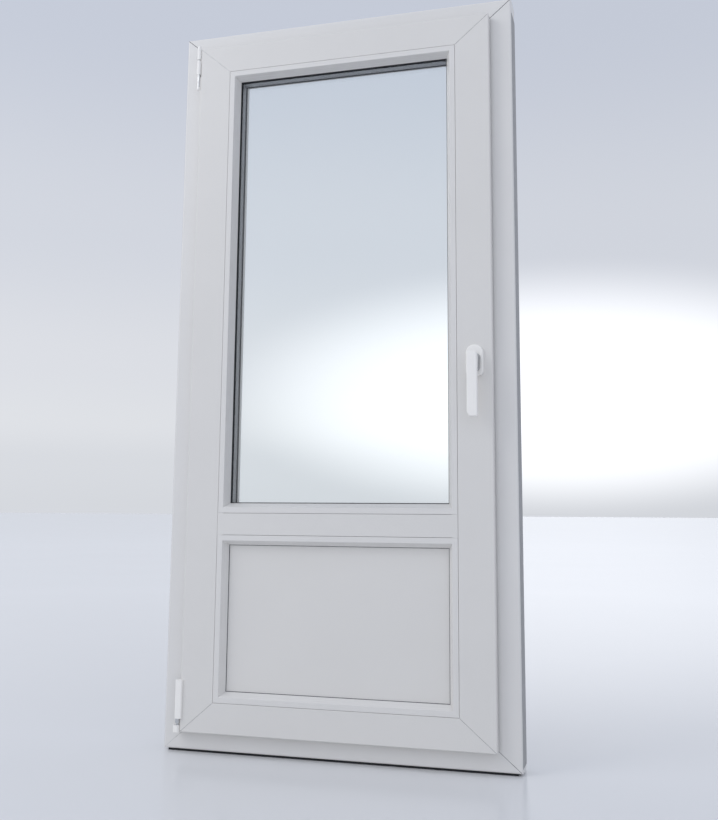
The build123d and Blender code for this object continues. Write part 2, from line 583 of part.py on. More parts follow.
with BuildPart() as stay_hinge_cap:
    with BuildSketch(Plane.XY.offset(SK1 + 0.6)):
        with Locations((HX, HY)):
            Circle(KN)
    extrude(amount=13.4)
    fillet(stay_hinge_cap.edges().sort_by(Axis.Z)[-1], 2.5)
    with BuildSketch(Plane.XY.offset(SK1 + 0.6)):
        with Locations((HX, HY)):
            Circle(PIN_R + 0.1)
    extrude(amount=6, mode=Mode.SUBTRACT)
stay_hinge_cap.part.label = "stay_hinge_cap"
export_step(stay_hinge_cap.part, "parts/stay_hinge_cap.step")

with BuildPart() as stay_guide_rail:
    with BuildSketch(Plane.XY.offset(SZ1 - BODY_Z)):
        with Locations((-146, ARM_TIP[1])):
            Rectangle(260, 18)
            SlotOverall(200, 8, mode=Mode.SUBTRACT)
    extrude(amount=1.5)
stay_guide_rail.part.label = "stay_guide_rail"
export_step(stay_guide_rail.part, "parts/stay_guide_rail.step")

# lower corner hinge: cup on the frame
LB0, LB1 = BASE + 50.5, BASE + 69.5            # foot and top of the cup
with BuildPart() as lower_hinge_bearing:
    with BuildSketch(Plane.XY.offset(LB0)) as s:
        with Locations((HX, HY)):
            Circle(6.0)
        with BuildLine():
            Polyline((HX - 11.5, HY - 5.5), (HX - 1, HY - 5.5), (HX - 1, HY + 4), (HX - 2.5, HY + 7),
                     (HX - 2.5, YF), (HX - 11.5, YF), close=True)
        make_face()
        fillet(at(s, (HX - 11.5, HY - 5.5, 0)), 3.5)
    extrude(amount=LB1 - LB0)
    with BuildSketch(Plane.XY.offset(LB0 + 4)) as s:
        with Locations((HX, HY)):
            Circle(3.1)
    extrude(amount=20, mode=Mode.SUBTRACT)
lower_hinge_bearing.part.label = "lower_hinge_bearing"
export_step(lower_hinge_bearing.part, "parts/lower_hinge_bearing.step")

with BuildPart() as lower_pivot_pin:
    with BuildSketch(Plane.XY.offset(LB0 + 4.2)):
        with Locations((HX, HY)):
            Circle(3.0)
    extrude(amount=25.5)
    with BuildSketch(Plane.XY.offset(LB1 + 0.5)):
        with Locations((HX, HY)):
            Circle(5.0)
    extrude(amount=1.8)
lower_pivot_pin.part.label = "lower_pivot_pin"
export_step(lower_pivot_pin.part, "parts/lower_pivot_pin.step")

# band on the leaf: steel foot over the pin and a strap along the leaf's edge
BK0, BK1 = BASE + 75, BASE + 187               # foot of the band, top of the strap
with BuildPart() as lower_hinge_band:
    with BuildSketch(Plane.XY.offset(BK0)) as s:
        with Locations((HX, HY)):
            Circle(6.1)
    extrude(amount=12)
    with BuildSketch(Plane.XY.offset(BK0 - 1)) as s:
        with Locations((HX, HY)):
            Circle(5.0)
    extrude(amount=9, mode=Mode.SUBTRACT)
    with BuildSketch(Plane.XY.offset(BK0 + 11)) as s:
        with Locations((-SX, HY)):
            Rectangle(-SX - HX + 2.5, 5, align=(Align.MAX, Align.CENTER))
        with Locations((-SX, HY - 2.5)):
            Rectangle(1.6, 21, align=(Align.MAX, Align.MIN))
    extrude(amount=BK1 - BK0 - 13)
lower_hinge_band.part.label = "lower_hinge_band"
export_step(lower_hinge_band.part, "parts/lower_hinge_band.step")

# white cover over the strap, wrapping round the leaf's edge onto its face
CX0, CX1 = HX - 7.4, -SX + 7.0                 # left and right side of the cover
CY0, CY1 = YS - 7.6, YS + 11.0                 # front of the cover, end of its side wing
with BuildPart() as lower_hinge_cover:
    with BuildSketch(Plane.XY.offset(BK0 + 12.3)) as s:
        with BuildLine():
            Polyline((CX0, CY0), (CX1, CY0), (CX1, YS - 0.1), (-SX - 0.15, YS - 0.1), (-SX - 0.15, CY1), (CX0, CY1), close=True)
        make_face()
        fillet(at(s, (CX0, CY0, 0)), 6.0)
        fillet(at(s, (CX1, CY0, 0)), 4.5)
        fillet(at(s, (CX0, CY1, 0)), 2.0)
    extrude(amount=BK1 - BK0 - 9.3)
    with BuildSketch(Plane.XY.offset(BK0 + 12.3)):
        with Locations((HX - 2.9, HY - 2.9)):
            Rectangle(20, 30, align=(Align.MIN, Align.MIN))
        with Locations((-SX + 0.1, YS - 3.0)):
            Rectangle(20, 20, align=(Align.MIN, Align.MIN), mode=Mode.SUBTRACT)
    extrude(amount=BK1 - BK0 - 12.3, mode=Mode.SUBTRACT)
lower_hinge_cover.part.label = "lower_hinge_cover"
export_step(lower_hinge_cover.part, "parts/lower_hinge_cover.step")

# lock keeps on the right jamb, all on one node
KEEP_W, KEEP_H, KEEP_T = 22.0, 120.0, 3.0
with BuildPart() as lock_keeps:
    with BuildSketch(Plane.YZ.offset(HW - LEG_X)) as s:
        with Locations(*[(-18, BASE + z) for z in (320, 900, 1250, 1780)]):
            Rectangle(KEEP_W, KEEP_H)
            Rectangle(9, 60, mode=Mode.SUBTRACT)
    extrude(amount=-KEEP_T)
lock_keeps.part.label = "lock_keeps"
export_step(lock_keeps.part, "parts/lock_keeps.step")

# faceplate of the lock along the closing edge of the leaf
with BuildPart() as lock_faceplate:
    with BuildSketch(Plane.YZ.offset(SX - BODY_X)) as s:
        with Locations((-24, BASE + H / 2)):
            Rectangle(16, 1780)
    extrude(amount=2.4)
lock_faceplate.part.label = "lock_faceplate"
export_step(lock_faceplate.part, "parts/lock_faceplate.step")

# ---------------------------------------------------------------- handle ---
ROSE_W, ROSE_H, ROSE_T = 47.0, 84.0, 10.0
with BuildPart() as handle_rosette:
    with BuildSketch(Plane.XZ.offset(-YS)) as s:
        r0, r1 = HANDLE_X + 1 - ROSE_W / 2, HANDLE_X + 1 + ROSE_W / 2
        q0, q1 = HANDLE_Z - ROSE_H / 2, HANDLE_Z + ROSE_H / 2
        with BuildLine():
            Polyline((r0, q0), (r1, q0), (r1, q1), (r0, q1), close=True)
        make_face()
        fillet(at(s, (r0, q1, 0), (r1, q1, 0)), 22.5)
        fillet(at(s, (r0, q0, 0), (r1, q0, 0)), 13)
        with Locations((HANDLE_X, HANDLE_Z)):
            Circle(6.0, mode=Mode.SUBTRACT)
    extrude(amount=ROSE_T)
    fillet(handle_rosette.faces().sort_by(Axis.Y)[0].outer_wire().edges(), 3.5)
handle_rosette.part.label = "handle_rosette"
export_step(handle_rosette.part, "parts/handle_rosette.step")

# lever: long neck out of the rosette, grip hanging down parallel to the leaf
NECK_Y = YS - ROSE_T - 0.6                     # back of the neck
LEVER_Y, LEVER_T = YS - 38.0, 14.0             # back of the grip, its thickness
LEVER_W = 28.0
LEVER_Z0, LEVER_Z1 = BASE + 904.5, HANDLE_Z + 19.0
with BuildPart() as handle_lever:
    with BuildSketch(Plane.XZ.offset(-NECK_Y)) as s:
        with Locations((HANDLE_X + 0.5, HANDLE_Z - 7)):
            RectangleRounded(25, 46, 11)
    extrude(amount=NECK_Y - LEVER_Y + 2)
    with BuildSketch(Plane.XZ.offset(-LEVER_Y)) as s:
        x0, x1 = HANDLE_X - LEVER_W / 2, HANDLE_X + LEVER_W / 2
        with BuildLine():
            Polyline((x0 + 6, LEVER_Z0), (x1, LEVER_Z0), (x1, LEVER_Z1), (x0, LEVER_Z1), (x0, LEVER_Z0 + 13), close=True)
        make_face()
        fillet(at(s, (x0, LEVER_Z1, 0), (x1, LEVER_Z1, 0)), 11)
        fillet(at(s, (x1, LEVER_Z0, 0)), 3)
        fillet(at(s, (x0 + 6, LEVER_Z0, 0), (x0, LEVER_Z0 + 13, 0)), 4)
    extrude(amount=LEVER_T)
    fillet(handle_lever.faces().sort_by(Axis.Y)[0].outer_wire().edges(), 3.5)
handle_lever.part.label = "handle_lever"
export_step(handle_lever.part, "parts/handle_lever.step")

with BuildPart() as handle_spindle:
    with BuildSketch(Plane.XZ.offset(-NECK_Y)) as s:
        with Locations((HANDLE_X, HANDLE_Z)):
            Rectangle(7, 7)
    extrude(amount=-(ROSE_T + 35))
handle_spindle.part.label = "handle_spindle"
export_step(handle_spindle.part, "parts/handle_spindle.step")
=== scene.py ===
import math
import bpy
import bmesh
from mathutils import Matrix, Vector


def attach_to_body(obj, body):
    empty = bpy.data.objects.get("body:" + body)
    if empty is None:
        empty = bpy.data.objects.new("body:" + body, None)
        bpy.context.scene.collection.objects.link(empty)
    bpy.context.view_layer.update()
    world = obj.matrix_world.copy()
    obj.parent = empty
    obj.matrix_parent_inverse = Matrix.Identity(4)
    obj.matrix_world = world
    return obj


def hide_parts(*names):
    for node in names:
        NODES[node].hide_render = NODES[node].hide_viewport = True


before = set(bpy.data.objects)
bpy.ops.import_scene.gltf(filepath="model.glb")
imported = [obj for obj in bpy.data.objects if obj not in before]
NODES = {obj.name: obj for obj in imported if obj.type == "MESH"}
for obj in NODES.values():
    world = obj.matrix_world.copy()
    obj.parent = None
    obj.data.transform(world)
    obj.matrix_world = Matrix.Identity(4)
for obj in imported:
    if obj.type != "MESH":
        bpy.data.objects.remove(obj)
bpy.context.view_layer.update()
scene = bpy.context.scene
scene.view_settings.view_transform = "Standard"
scene.view_settings.look = "None"


# ------------------------------------------------------------ materials ----
def new_material(name):
    m = bpy.data.materials.new(name)
    m.use_nodes = True
    nt = m.node_tree
    return m, nt, nt.nodes["Principled BSDF"]


def add(nt, kind, **values):
    n = nt.nodes.new(kind)
    for k, v in values.items():
        if k in n.inputs:
            n.inputs[k].default_value = v
        else:
            setattr(n, k, v)
    return n


def object_coords(nt, scale=(1, 1, 1)):
    tc = add(nt, "ShaderNodeTexCoord")
    mp = add(nt, "ShaderNodeMapping")
    mp.inputs["Scale"].default_value = scale
    nt.links.new(tc.outputs["Object"], mp.inputs["Vector"])
    return mp.outputs["Vector"]


def noise(nt, vec, scale, detail=3.0, rough=0.5):
    n = add(nt, "ShaderNodeTexNoise", Scale=scale, Detail=detail, Roughness=rough)
    nt.links.new(vec, n.inputs["Vector"])
    return n.outputs["Fac"]


def ramp(nt, fac, stops):
    r = add(nt, "ShaderNodeValToRGB")
    e = r.color_ramp.elements
    while len(e) > len(stops):
        e.remove(e[-1])
    while len(e) < len(stops):
        e.new(0.5)
    for el, (p, c) in zip(e, stops):
        el.position = p
        el.color = (*c, 1) if len(c) == 3 else c
    nt.links.new(fac, r.inputs["Fac"])
    return r.outputs["Color"]


def span(nt, fac, lo, hi, a=0.0, b=1.0):
    r = add(nt, "ShaderNodeMapRange")
    for k, v in (("From Min", a), ("From Max", b), ("To Min", lo), ("To Max", hi)):
        r.inputs[k].default_value = v
    nt.links.new(fac, r.inputs["Value"])
    return r.outputs["Result"]


def bump(nt, height, strength, distance, normal=None):
    b = add(nt, "ShaderNodeBump")
    b.inputs["Strength"].default_value = strength
    b.inputs["Distance"].default_value = distance
    nt.links.new(height, b.inputs["Height"])
    if normal is not None:
        nt.links.new(normal, b.inputs["Normal"])
    return b.outputs["Normal"]


def plastic(name, tone, rough=0.34, grain=(1, 1, 1), variation=0.012):
    """Satin white extruded plastic: faint drawing lines along the extrusion,
    a soft cloudiness in the colour, and a fine pebble in the gloss."""
    m, nt, p = new_material(name)
    vec = object_coords(nt)
    long_vec = object_coords(nt, grain)
    cloud = noise(nt, vec, 5.0, 3.0)
    lines = noise(nt, long_vec, 520.0, 2.0)
    fine = noise(nt, vec, 1700.0, 2.0)
    dark = tuple(c * (1 - variation) for c in tone)
    light = tuple(min(1, c * (1 + variation)) for c in tone)
    col = ramp(nt, cloud, [(0.3, dark), (0.7, light)])
    nt.links.new(col, p.inputs["Base Color"])
    mix = add(nt, "ShaderNodeMath", operation="ADD")
    nt.links.new(span(nt, cloud, -0.03, 0.03), mix.inputs[0])
    nt.links.new(span(nt, lines, rough - 0.04, rough + 0.04), mix.inputs[1])
    nt.links.new(mix.outputs[0], p.inputs["Roughness"])
    n1 = bump(nt, lines, 0.10, 0.00005)
    nt.links.new(bump(nt, fine, 0.12, 0.00003, n1), p.inputs["Normal"])
    p.inputs["IOR"].default_value = 1.5
    p.inputs["Specular IOR Level"].default_value = 0.42
    return m


def rubber(name, tone=(0.030, 0.031, 0.034), rough=0.62):
    m, nt, p = new_material(name)
    vec = object_coords(nt)
    soft = noise(nt, vec, 60.0, 4.0)
    fine = noise(nt, vec, 2600.0, 2.0)
    nt.links.new(ramp(nt, soft, [(0.3, tuple(c * 0.75 for c in tone)), (0.75, tuple(c * 1.35 for c in tone))]), p.inputs["Base Color"])
    nt.links.new(span(nt, soft, rough - 0.1, rough + 0.08), p.inputs["Roughness"])
    nt.links.new(bump(nt, fine, 0.25, 0.00008), p.inputs["Normal"])
    p.inputs["Specular IOR Level"].default_value = 0.35
    return m


def powder_coat(name, tone=(0.965, 0.943, 0.902), rough=0.30):
    m, nt, p = new_material(name)
    vec = object_coords(nt)
    peel = noise(nt, vec, 620.0, 2.0, 0.4)
    cloud = noise(nt, vec, 26.0, 3.0)
    nt.links.new(ramp(nt, cloud, [(0.3, tuple(c * 0.985 for c in tone)), (0.7, tone)]), p.inputs["Base Color"])
    nt.links.new(span(nt, cloud, rough - 0.04, rough + 0.05), p.inputs["Roughness"])
    nt.links.new(bump(nt, peel, 0.16, 0.00006), p.inputs["Normal"])
    p.inputs["Specular IOR Level"].default_value = 0.5
    return m


def steel(name, tone=(0.56, 0.57, 0.58), grain=(1, 1, 0.02)):
    m, nt, p = new_material(name)
    vec = object_coords(nt, grain)
    iso = object_coords(nt)
    lines = noise(nt, vec, 2200.0, 3.0)
    spots = noise(nt, iso, 160.0, 4.0)
    nt.links.new(ramp(nt, spots, [(0.3, tuple(c * 0.86 for c in tone)), (0.7, tuple(min(1, c * 1.1) for c in tone))]), p.inputs["Base Color"])
    nt.links.new(span(nt, lines, 0.24, 0.42), p.inputs["Roughness"])
    nt.links.new(bump(nt, lines, 0.12, 0.00004), p.inputs["Normal"])
    p.inputs["Metallic"].default_value = 1.0
    return m


MAT = {
    "frame_v": plastic("frame_white_upright", (0.790, 0.775, 0.752), 0.36, (1, 1, 0.012)),
    "frame_h": plastic("frame_white_cross", (0.790, 0.775, 0.752), 0.36, (0.012, 1, 1)),
    "sash_v": plastic("sash_white_upright", (0.769, 0.751, 0.721), 0.34, (1, 1, 0.012)),
    "sash_h": plastic("sash_white_cross", (0.769, 0.751, 0.721), 0.34, (0.012, 1, 1)),
    "bead_v": plastic("bead_white_upright", (0.775, 0.758, 0.731), 0.28, (1, 1, 0.012)),
    "bead_h": plastic("bead_white_cross", (0.775, 0.758, 0.731), 0.28, (0.012, 1, 1)),
    "panel": plastic("panel_white_sheet", (0.777, 0.758, 0.726), 0.40, (1, 1, 1), 0.008),
    "rubber": rubber("seal_rubber", (0.040, 0.041, 0.044)),
    "rubber_grey": rubber("seal_rubber_grey", (0.105, 0.107, 0.112)),
    # painted shadow: the base strip under the sill is a real profile, coloured near-black to stand for the contact
    # shadow line under the frame
    "base": rubber("base_strip_painted_shadow", (0.018, 0.018, 0.021), 0.8),
    "coat": powder_coat("hardware_white_coat"),
    "steel": steel("hardware_zinc"),
    "bright": steel("hardware_bright_pin", (0.76, 0.76, 0.75)),
}


def spacer_material():
    """Mill-finish aluminium bar with a row of fine drying holes."""
    m, nt, p = new_material("spacer_aluminium")
    vec = object_coords(nt)
    spots = noise(nt, vec, 220.0, 3.0)
    nt.links.new(ramp(nt, spots, [(0.3, (0.36, 0.365, 0.375)), (0.7, (0.46, 0.465, 0.475))]), p.inputs["Base Color"])
    holes = add(nt, "ShaderNodeTexVoronoi", feature="F1", Scale=260.0, Randomness=0.0)
    nt.links.new(vec, holes.inputs["Vector"])
    nt.links.new(span(nt, spots, 0.42, 0.58), p.inputs["Roughness"])
    nt.links.new(bump(nt, span(nt, holes.outputs["Distance"], 0, 1, 0.08, 0.22), 0.3, 0.0002), p.inputs["Normal"])
    p.inputs["Metallic"].default_value = 0.55
    return m


def tape_material():
    """Grey foam tape: open fine cells, matt."""
    m, nt, p = new_material("tape_foam_grey")
    vec = object_coords(nt)
    cells = add(nt, "ShaderNodeTexVoronoi", feature="F1", Scale=900.0)
    nt.links.new(vec, cells.inputs["Vector"])
    patch = noise(nt, vec, 40.0, 4.0)
    nt.links.new(ramp(nt, patch, [(0.3, (0.37, 0.372, 0.375)), (0.7, (0.43, 0.432, 0.435))]), p.inputs["Base Color"])
    nt.links.new(bump(nt, cells.outputs["Distance"], 0.5, 0.0004), p.inputs["Normal"])
    nt.links.new(span(nt, patch, 0.82, 0.95), p.inputs["Roughness"])
    return m


def glass_material():
    m, nt, p = new_material("float_glass")
    vec = object_coords(nt)
    wave = noise(nt, vec, 2.2, 1.0)
    nt.links.new(bump(nt, wave, 0.02, 0.0006), p.inputs["Normal"])
    nt.links.new(span(nt, wave, 0.0, 0.012), p.inputs["Roughness"])
    nt.links.new(ramp(nt, wave, [(0.0, (0.965, 0.985, 0.985)), (1.0, (0.975, 0.99, 0.99))]), p.inputs["Base Color"])
    p.inputs["Transmission Weight"].default_value = 1.0
    p.inputs["IOR"].default_value = 1.45
    return m


MAT["spacer"] = spacer_material()
MAT["tape"] = tape_material()
MAT["glass"] = glass_material()

UPRIGHT = {"frame_jamb_left", "frame_jamb_right", "sash_stile_left", "sash_stile_right",
           "glass_bead_left", "glass_bead_right", "panel_bead_left", "panel_bead_right"}


def material_for(n):
    way = "v" if n in UPRIGHT else "h"
    if n.startswith("glass_pane"):
        return MAT["glass"]
    if n.startswith("panel_gasket"):
        return MAT["rubber_grey"]
    if "gasket" in n or "seal" in n:
        return MAT["rubber"]
    # painted shadow: near-black base strip standing for the contact shadow under the sill
    if n == "frame_base_strip":
        return MAT["base"]
    if "tape" in n:
        return MAT["tape"]
    if n == "glass_spacer":
        return MAT["spacer"]
    if n == "lower_panel":
        return MAT["panel"]
    if "bead" in n:
        return MAT["bead_" + way]
    if n.startswith("frame_"):
        return MAT["frame_" + way]
    if n.startswith("sash_"):
        return MAT["sash_" + way]
    if n == "upper_hinge_pin":
        return MAT["bright"]
    if n in ("stay_arm", "stay_guide_rail", "lower_pivot_pin", "lower_hinge_band", "lock_keeps",
             "lock_faceplate", "handle_spindle"):
        return MAT["steel"]
    return MAT["coat"]


for name, obj in NODES.items():
    obj.data.materials.clear()
    obj.data.materials.append(material_for(name))


# -------------------------------------------------------------- details ----
# Sizes in metres, taken from the sections of the profiles.
HW, BASE = 0.500, 0.006
SX, SZ0, SZ1 = 0.440, 0.057, 2.055
YF, YS, YBB = -0.038, -0.068, -0.044
GX, GZ0, GZ1 = 0.3435, 0.057 + 0.082025, 2.055 - 0.082025
TZ0, TZ1 = 0.595, 0.655


def mesh_object(name, verts, faces, mat, smooth=False):
    me = bpy.data.meshes.new(name)
    me.from_pydata([tuple(v) for v in verts], [], faces)
    me.update()
    bm = bmesh.new()
    bm.from_mesh(me)
    bmesh.ops.recalc_face_normals(bm, faces=bm.faces)
    bm.to_mesh(me)
    bm.free()
    for poly in me.polygons:
        poly.use_smooth = smooth
    me.materials.append(mat)
    o = bpy.data.objects.new(name, me)
    scene.collection.objects.link(o)
    return o


def loop(name, x0, x1, z0, z1, section, mat, smooth=True):
    """A closed mitred rectangular ring; section points are (inset, y)."""
    verts, faces = [], []
    n = len(section)
    for cx, cz, ix, iz in ((x0, z0, 1, 1), (x1, z0, -1, 1), (x1, z1, -1, -1), (x0, z1, 1, -1)):
        for t, y in section:
            verts.append((cx + ix * t, y, cz + iz * t))
    for k in range(4):
        m = (k + 1) % 4
        for i in range(n):
            j = (i + 1) % n
            faces.append((k * n + i, k * n + j, m * n + j, m * n + i))
    return mesh_object(name, verts, faces, mat, smooth)


def rounded(points, radius, steps=5):
    """Rounds the corners of a closed 2-D outline; radius may vary by corner."""
    out = []
    n = len(points)
    for i, p in enumerate(points):
        r = radius[i] if isinstance(radius, (list, tuple)) else radius
        if r <= 0:
            out.append(p)
            continue
        a, b = Vector(points[i - 1]) - Vector(p), Vector(points[(i + 1) % n]) - Vector(p)
        a.normalize()
        b.normalize()
        half = a.angle(b) / 2
        d = r / math.tan(half)
        c = Vector(p) + (a + b).normalized() * (r / math.sin(half))
        s0, s1 = Vector(p) + a * d - c, Vector(p) + b * d - c
        for k in range(steps + 1):
            v = s0.lerp(s1, k / steps)
            v.normalize()
            out.append(tuple(c + v * r))
    return out


def prism(name, a, b, section, up, mat):
    """A straight bar from a to b; section points are (side, up)."""
    a, b = Vector(a), Vector(b)
    d = (b - a).normalized()
    up = Vector(up)
    side = d.cross(up).normalized()
    verts = [p + side * u + up * v for p in (a, b) for u, v in section]
    n = len(section)
    faces = [(i, (i + 1) % n, n + (i + 1) % n, n + i) for i in range(n)]
    faces += [tuple(range(n - 1, -1, -1)), tuple(range(n, 2 * n))]
    return mesh_object(name, verts, faces, mat)


def lathe(name, centre, axis, profile, mat, steps=32, smooth=True):
    """A turned solid: profile points are (radius, height along the axis)."""
    axis = Vector(axis).normalized()
    u = axis.orthogonal().normalized()
    w = axis.cross(u)
    c = Vector(centre)
    verts, faces = [], []
    rings = []
    for r, h in profile:
        if r < 1e-7:
            rings.append([len(verts)])
            verts.append(c + axis * h)
            continue
        ring = []
        for k in range(steps):
            a = 2 * math.pi * k / steps
            ring.append(len(verts))
            verts.append(c + axis * h + (u * math.cos(a) + w * math.sin(a)) * r)
        rings.append(ring)
    for r0, r1 in zip(rings, rings[1:]):
        for k in range(steps):
            m = (k + 1) % steps
            if len(r0) == 1 and len(r1) > 1:
                faces.append((r0[0], r1[k], r1[m]))
            elif len(r1) == 1 and len(r0) > 1:
                faces.append((r0[k], r1[0], r0[m]))
            elif len(r0) > 1:
                faces.append((r0[k], r1[k], r1[m], r0[m]))
    return mesh_object(name, verts, faces, mat, smooth)


def join(name, objs):
    """Makes one mesh of several."""
    bm = bmesh.new()
    for o in objs:
        bm.from_mesh(o.data)
    mat = objs[0].data.materials[0]
    smooth = [p.use_smooth for o in objs for p in o.data.polygons]
    for o in objs:
        bpy.data.objects.remove(o)
    me = bpy.data.meshes.new(name)
    bm.to_mesh(me)
    bm.free()
    for p, s_ in zip(me.polygons, smooth):
        p.use_smooth = s_
    me.materials.append(mat)
    out = bpy.data.objects.new(name, me)
    scene.collection.objects.link(out)
    return out


def attach(obj, body):
    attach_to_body(obj, body)
    return obj


def screw(name, centre, axis, r, mat):
    """A countersunk screw head with a cross recess, its rim level with centre."""
    axis = Vector(axis).normalized()
    head = lathe(name, centre, axis, [(0, -0.0006), (r * 0.62, -0.0006), (r * 0.70, -0.0001), (r * 0.92, 0.00012), (r, -0.00005), (r, -0.0009), (0, -0.0009)], mat, 28)
    u = axis.orthogonal().normalized()
    w = axis.cross(u)
    bars = []
    for d in (u, w):
        c = Vector(centre) - axis * 0.00055
        bars.append(prism(name + "_bar", c - d * r * 0.5, c + d * r * 0.5, [(-r * 0.11, -0.0001), (r * 0.11, -0.0001), (r * 0.11, 0.0003), (-r * 0.11, 0.0003)], axis, mat))
    return join(name, [head] + bars)


# painted shade: the three weld-line tones stand for how dark each mitre groove falls in the light, near-black at the
# frame head, pale or faint at the other corners
MAT["seam"] = rubber("seam_shadow_line", (0.050, 0.051, 0.055), 0.85)
MAT["seam_shade_pale"] = rubber("weld_groove_painted_shade_pale", (0.30, 0.298, 0.295), 0.8)
MAT["seam_shade_faint"] = rubber("weld_groove_painted_shade_faint", (0.60, 0.598, 0.59), 0.6)
NM = math.hypot(1, 0.85)

# weld lines: a thin strip at the bottom of each mitre groove, coloured as painted shade of the groove
FRAME_SEAM = [(-0.0008, -0.00115), (0.0008, -0.00115), (0.0008, -0.0006), (-0.0008, -0.0006)]
SASH_SEAM = [(-0.0005, -0.00085), (0.0005, -0.00085), (0.0005, -0.00045), (-0.0005, -0.00045)]
seams = []
for sx in (-1, 1):
    a = Vector((sx * (HW - 0.0026), YF, BASE + 2.1 - 0.0022))
    b = Vector((sx * (HW - 0.0665), YF, BASE + 2.1 - 0.0565))
    seams.append(prism("seam", a, b, FRAME_SEAM, (0, -1, 0), MAT["seam"]))
attach(join("frame_weld_shade_lines_top", seams), "frame")
# painted shade: the bottom-left frame mitre gets the faint tone and the bottom-right the pale one, following how the
# light falls on them
for sx, word, tone in ((-1, "left", "seam_shade_faint"), (1, "right", "seam_shade_pale")):
    a = Vector((sx * (HW - 0.0026), YF, BASE + 0.0022))
    b = Vector((sx * (HW - 0.0665), YF, BASE + 0.0565))
    attach(prism("frame_weld_shade_line_bottom_" + word, a, b, FRAME_SEAM, (0, -1, 0), MAT[tone]), "frame")
for sx, word in ((-1, "left"), (1, "right")):
    for z0, z1, s1, end in ((SZ0, GZ0, 1, "bottom"), (SZ1, GZ1, -1, "top")):
        a = Vector((sx * (SX - 0.0016), YS, z0 + s1 * 0.0014))
        b = Vector((sx * (GX + 0.0010), YS, z1 - s1 * 0.00085))
        # painted shade: the top-left sash mitre gets the faint tone, the other sash mitres the pale one
        tone = "seam_shade_faint" if (sx < 0 and s1 < 0) else "seam_shade_pale"
        attach(prism("sash_weld_line_%s_%s" % (end, word), a, b, SASH_SEAM, (0, -1, 0), MAT[tone]), "leaf")

# glazing gaskets with a rounded lip, in place of the plain strips
def lip_ring(name, node, x, z0, z1, y0, y1, lip, mat):
    """Gasket ring: hidden foot, rounded lip towards the glass."""
    sec = rounded([(0.0222, y0), (0.028 + lip - 0.0003, y0), (0.028 + lip, y1), (0.0222, y1)], [0, 0.0007, 0.0005, 0], 4)
    o = attach(loop(name, -x, x, z0, z1, sec, mat), "leaf")
    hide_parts(node)
    return o


lip_ring("glass_gasket_inner_lip", "glass_gasket_inner", GX, TZ1, GZ1, -0.0438, -0.0381, 0.0015, MAT["rubber"])
lip_ring("panel_gasket_inner_lip", "panel_gasket_inner", GX, GZ0, TZ0, -0.0438, -0.0421, 0.0015, MAT["rubber_grey"])

# bulb of the stop seal: a foot in the groove and a hollow-looking round bulb
sec = rounded([(0.0816, 0.0179), (0.0816, 0.0162), (0.0822, 0.0126), (0.0868, 0.0126), (0.0874, 0.0162), (0.0874, 0.0179)],
              [0, 0.0006, 0.0018, 0.0018, 0.0006, 0], 5)
# the side and cross members of this seal are inset by different amounts
verts, faces = [], []
for cx, cz, ix, iz in ((-HW, BASE, 1, 1), (HW, BASE, -1, 1), (HW, BASE + 2.1, -1, -1), (-HW, BASE + 2.1, 1, -1)):
    for t, y in sec:
        verts.append((cx + ix * t, y, cz + iz * (t - 0.0815 + 0.0698)))
n = len(sec)
for k in range(4):
    m = (k + 1) % 4
    for i in range(n):
        j = (i + 1) % n
        faces.append((k * n + i, k * n + j, m * n + j, m * n + i))
o = attach(mesh_object("frame_stop_seal_bulb", verts, faces, MAT["rubber"], True), "frame")
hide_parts("frame_stop_seal")

# screws: lock faceplate, keeps and guide rail
heads = [screw("s", (0.440 - 0.020 + 0.0024, -0.024, 0.006 + z), (1, 0, 0), 0.0040, MAT["steel"]) for z in (0.19, 0.44, 0.72, 1.03, 1.33, 1.62, 1.90)]
attach(join("faceplate_screws", heads), "leaf")
heads = [screw("s", (0.432 - 0.003, -0.018, BASE + z + dz), (-1, 0, 0), 0.0036, MAT["steel"]) for z in (0.320, 0.900, 1.250, 1.780) for dz in (-0.045, 0.045)]
attach(join("keep_screws", heads), "frame")
heads = [screw("s", (x, -0.024, 2.0395), (0, 0, 1), 0.0036, MAT["steel"]) for x in (-0.268, -0.024)]
attach(join("guide_rail_screws", heads), "leaf")

# a bushing round the neck of the lever, next to the rosette, coloured mid-grey as painted shade of the slit between
# lever and rosette
HXc, HZc = 0.392, 1.0585
outline = rounded([(HXc - 0.0160, HZc - 0.0255), (HXc + 0.0165, HZc - 0.0255), (HXc + 0.0165, HZc + 0.0255), (HXc - 0.0160, HZc + 0.0255)], 0.0135, 8)
verts, faces = [], []
levels = ((-0.0785, 0.96), (-0.0785, 1.0), (-0.0905, 0.94), (-0.0915, 0.90), (-0.0915, 0.76))
for y, k in levels:
    for u, v in outline:
        verts.append((HXc + (u - HXc) * k, y, HZc + (v - HZc) * k))
n = len(outline)
for i in range(len(levels) - 1):
    for j in range(n):
        m = (j + 1) % n
        faces.append((i * n + j, i * n + m, (i + 1) * n + m, (i + 1) * n + j))
# painted shade: mid-grey tone for the shaded slit beside the lever
MAT["nylon"] = rubber("nylon_bushing_grey", (0.40, 0.398, 0.388), 0.5)
attach(mesh_object("handle_neck_bushing", verts, faces, MAT["nylon"], True), "handle")

